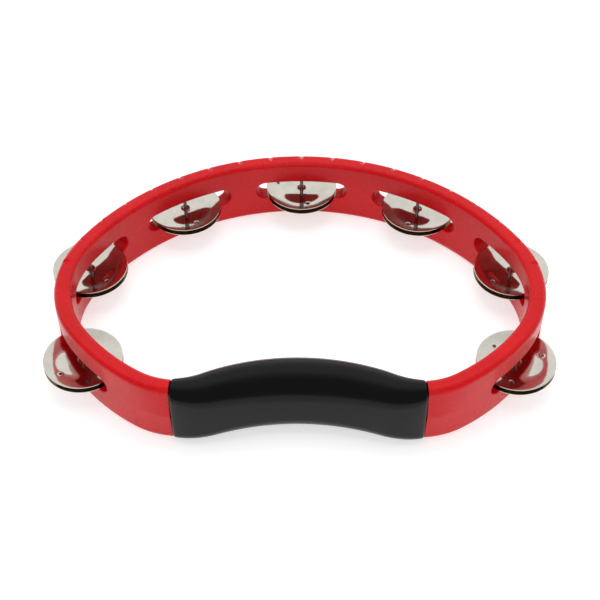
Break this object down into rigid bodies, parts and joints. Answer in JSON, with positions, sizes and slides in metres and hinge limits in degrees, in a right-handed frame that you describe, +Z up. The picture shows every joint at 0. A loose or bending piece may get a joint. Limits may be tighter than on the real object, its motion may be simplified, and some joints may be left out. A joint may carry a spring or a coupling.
{
  "type": "tambourine",
  "caption": "Hand-held D-shaped tambourine with no skin: red plastic ring, black bowed grip, and pairs of steel jingles on pins in slots.",
  "frame": {"origin": "the middle of the bounding box, at the level of the lower rim that the tambourine stands on", "axes": "+X across the widest side, +Y from the grip to the back of the ring, +Z up, along the jingle pins"},
  "size_m": [0.27, 0.1952, 0.0373],
  "materials": {
    "frame_plastic": "satin red, moulded",
    "grip_rubber": "fine matt grain, black",
    "jingle_steel": "bright nickel-plated pressed steel",
    "pin_steel": "drawn wire"
  },
  "bodies": {
    "frame": {"upper_frame_half": "frame_plastic", "lower_frame_half": "frame_plastic", "grip_sleeve": "grip_rubber"},
    "back_centre_pin": {"back_centre_pin": "pin_steel"},
    "back_centre_lower_jingle": {"back_centre_lower_jingle": "jingle_steel"},
    "back_centre_upper_jingle": {"back_centre_upper_jingle": "jingle_steel"},
    "back_right_pin": {"back_right_pin": "pin_steel"},
    "back_right_lower_jingle": {"back_right_lower_jingle": "jingle_steel"},
    "back_right_upper_jingle": {"back_right_upper_jingle": "jingle_steel"},
    "side_right_pin": {"side_right_pin": "pin_steel"},
    "side_right_lower_jingle": {"side_right_lower_jingle": "jingle_steel"},
    "side_right_upper_jingle": {"side_right_upper_jingle": "jingle_steel"},
    "front_right_pin": {"front_right_pin": "pin_steel"},
    "front_right_lower_jingle": {"front_right_lower_jingle": "jingle_steel"},
    "front_right_upper_jingle": {"front_right_upper_jingle": "jingle_steel"},
    "back_left_pin": {"back_left_pin": "pin_steel"},
    "back_left_lower_jingle": {"back_left_lower_jingle": "jingle_steel"},
    "back_left_upper_jingle": {"back_left_upper_jingle": "jingle_steel"},
    "side_left_pin": {"side_left_pin": "pin_steel"},
    "side_left_lower_jingle": {"side_left_lower_jingle": "jingle_steel"},
    "side_left_upper_jingle": {"side_left_upper_jingle": "jingle_steel"},
    "front_left_pin": {"front_left_pin": "pin_steel"},
    "front_left_lower_jingle": {"front_left_lower_jingle": "jingle_steel"},
    "front_left_upper_jingle": {"front_left_upper_jingle": "jingle_steel"}
  },
  "joints": [
    {"name": "back_centre_spin", "type": "hinge", "parent": "frame", "child": "back_centre_pin", "pos_m": [0, 0.07735, 0.01865], "axis": [0, 0, 1], "continuous": true},
    {"name": "back_centre_lower_slide", "type": "slide", "parent": "back_centre_pin", "child": "back_centre_lower_jingle", "axis": [0, 0, 1], "range_m": [0, 0.0033]},
    {"name": "back_centre_upper_slide", "type": "slide", "parent": "back_centre_lower_jingle", "child": "back_centre_upper_jingle", "axis": [0, 0, 1], "range_m": [0, 0.0033]},
    {"name": "back_right_spin", "type": "hinge", "parent": "frame", "child": "back_right_pin", "pos_m": [0.06648, 0.05931, 0.01865], "axis": [0, 0, 1], "continuous": true},
    {"name": "back_right_lower_slide", "type": "slide", "parent": "back_right_pin", "child": "back_right_lower_jingle", "axis": [0, 0, 1], "range_m": [0, 0.0033]},
    {"name": "back_right_upper_slide", "type": "slide", "parent": "back_right_lower_jingle", "child": "back_right_upper_jingle", "axis": [0, 0, 1], "range_m": [0, 0.0033]},
    {"name": "side_right_spin", "type": "hinge", "parent": "frame", "child": "side_right_pin", "pos_m": [0.11472, 0.01013, 0.01865], "axis": [0, 0, 1], "continuous": true},
    {"name": "side_right_lower_slide", "type": "slide", "parent": "side_right_pin", "child": "side_right_lower_jingle", "axis": [0, 0, 1], "range_m": [0, 0.0033]},
    {"name": "side_right_upper_slide", "type": "slide", "parent": "side_right_lower_jingle", "child": "side_right_upper_jingle", "axis": [0, 0, 1], "range_m": [0, 0.0033]},
    {"name": "front_right_spin", "type": "hinge", "parent": "frame", "child": "front_right_pin", "pos_m": [0.11023, -0.05539, 0.01865], "axis": [0, 0, 1], "continuous": true},
    {"name": "front_right_lower_slide", "type": "slide", "parent": "front_right_pin", "child": "front_right_lower_jingle", "axis": [0, 0, 1], "range_m": [0, 0.0033]},
    {"name": "front_right_upper_slide", "type": "slide", "parent": "front_right_lower_jingle", "child": "front_right_upper_jingle", "axis": [0, 0, 1], "range_m": [0, 0.0033]},
    {"name": "back_left_spin", "type": "hinge", "parent": "frame", "child": "back_left_pin", "pos_m": [-0.06648, 0.05931, 0.01865], "axis": [0, 0, 1], "continuous": true},
    {"name": "back_left_lower_slide", "type": "slide", "parent": "back_left_pin", "child": "back_left_lower_jingle", "axis": [0, 0, 1], "range_m": [0, 0.0033]},
    {"name": "back_left_upper_slide", "type": "slide", "parent": "back_left_lower_jingle", "child": "back_left_upper_jingle", "axis": [0, 0, 1], "range_m": [0, 0.0033]},
    {"name": "side_left_spin", "type": "hinge", "parent": "frame", "child": "side_left_pin", "pos_m": [-0.11472, 0.01013, 0.01865], "axis": [0, 0, 1], "continuous": true},
    {"name": "side_left_lower_slide", "type": "slide", "parent": "side_left_pin", "child": "side_left_lower_jingle", "axis": [0, 0, 1], "range_m": [0, 0.0033]},
    {"name": "side_left_upper_slide", "type": "slide", "parent": "side_left_lower_jingle", "child": "side_left_upper_jingle", "axis": [0, 0, 1], "range_m": [0, 0.0033]},
    {"name": "front_left_spin", "type": "hinge", "parent": "frame", "child": "front_left_pin", "pos_m": [-0.11023, -0.05539, 0.01865], "axis": [0, 0, 1], "continuous": true},
    {"name": "front_left_lower_slide", "type": "slide", "parent": "front_left_pin", "child": "front_left_lower_jingle", "axis": [0, 0, 1], "range_m": [0, 0.0033]},
    {"name": "front_left_upper_slide", "type": "slide", "parent": "front_left_lower_jingle", "child": "front_left_upper_jingle", "axis": [0, 0, 1], "range_m": [0, 0.0033]}
  ]
}
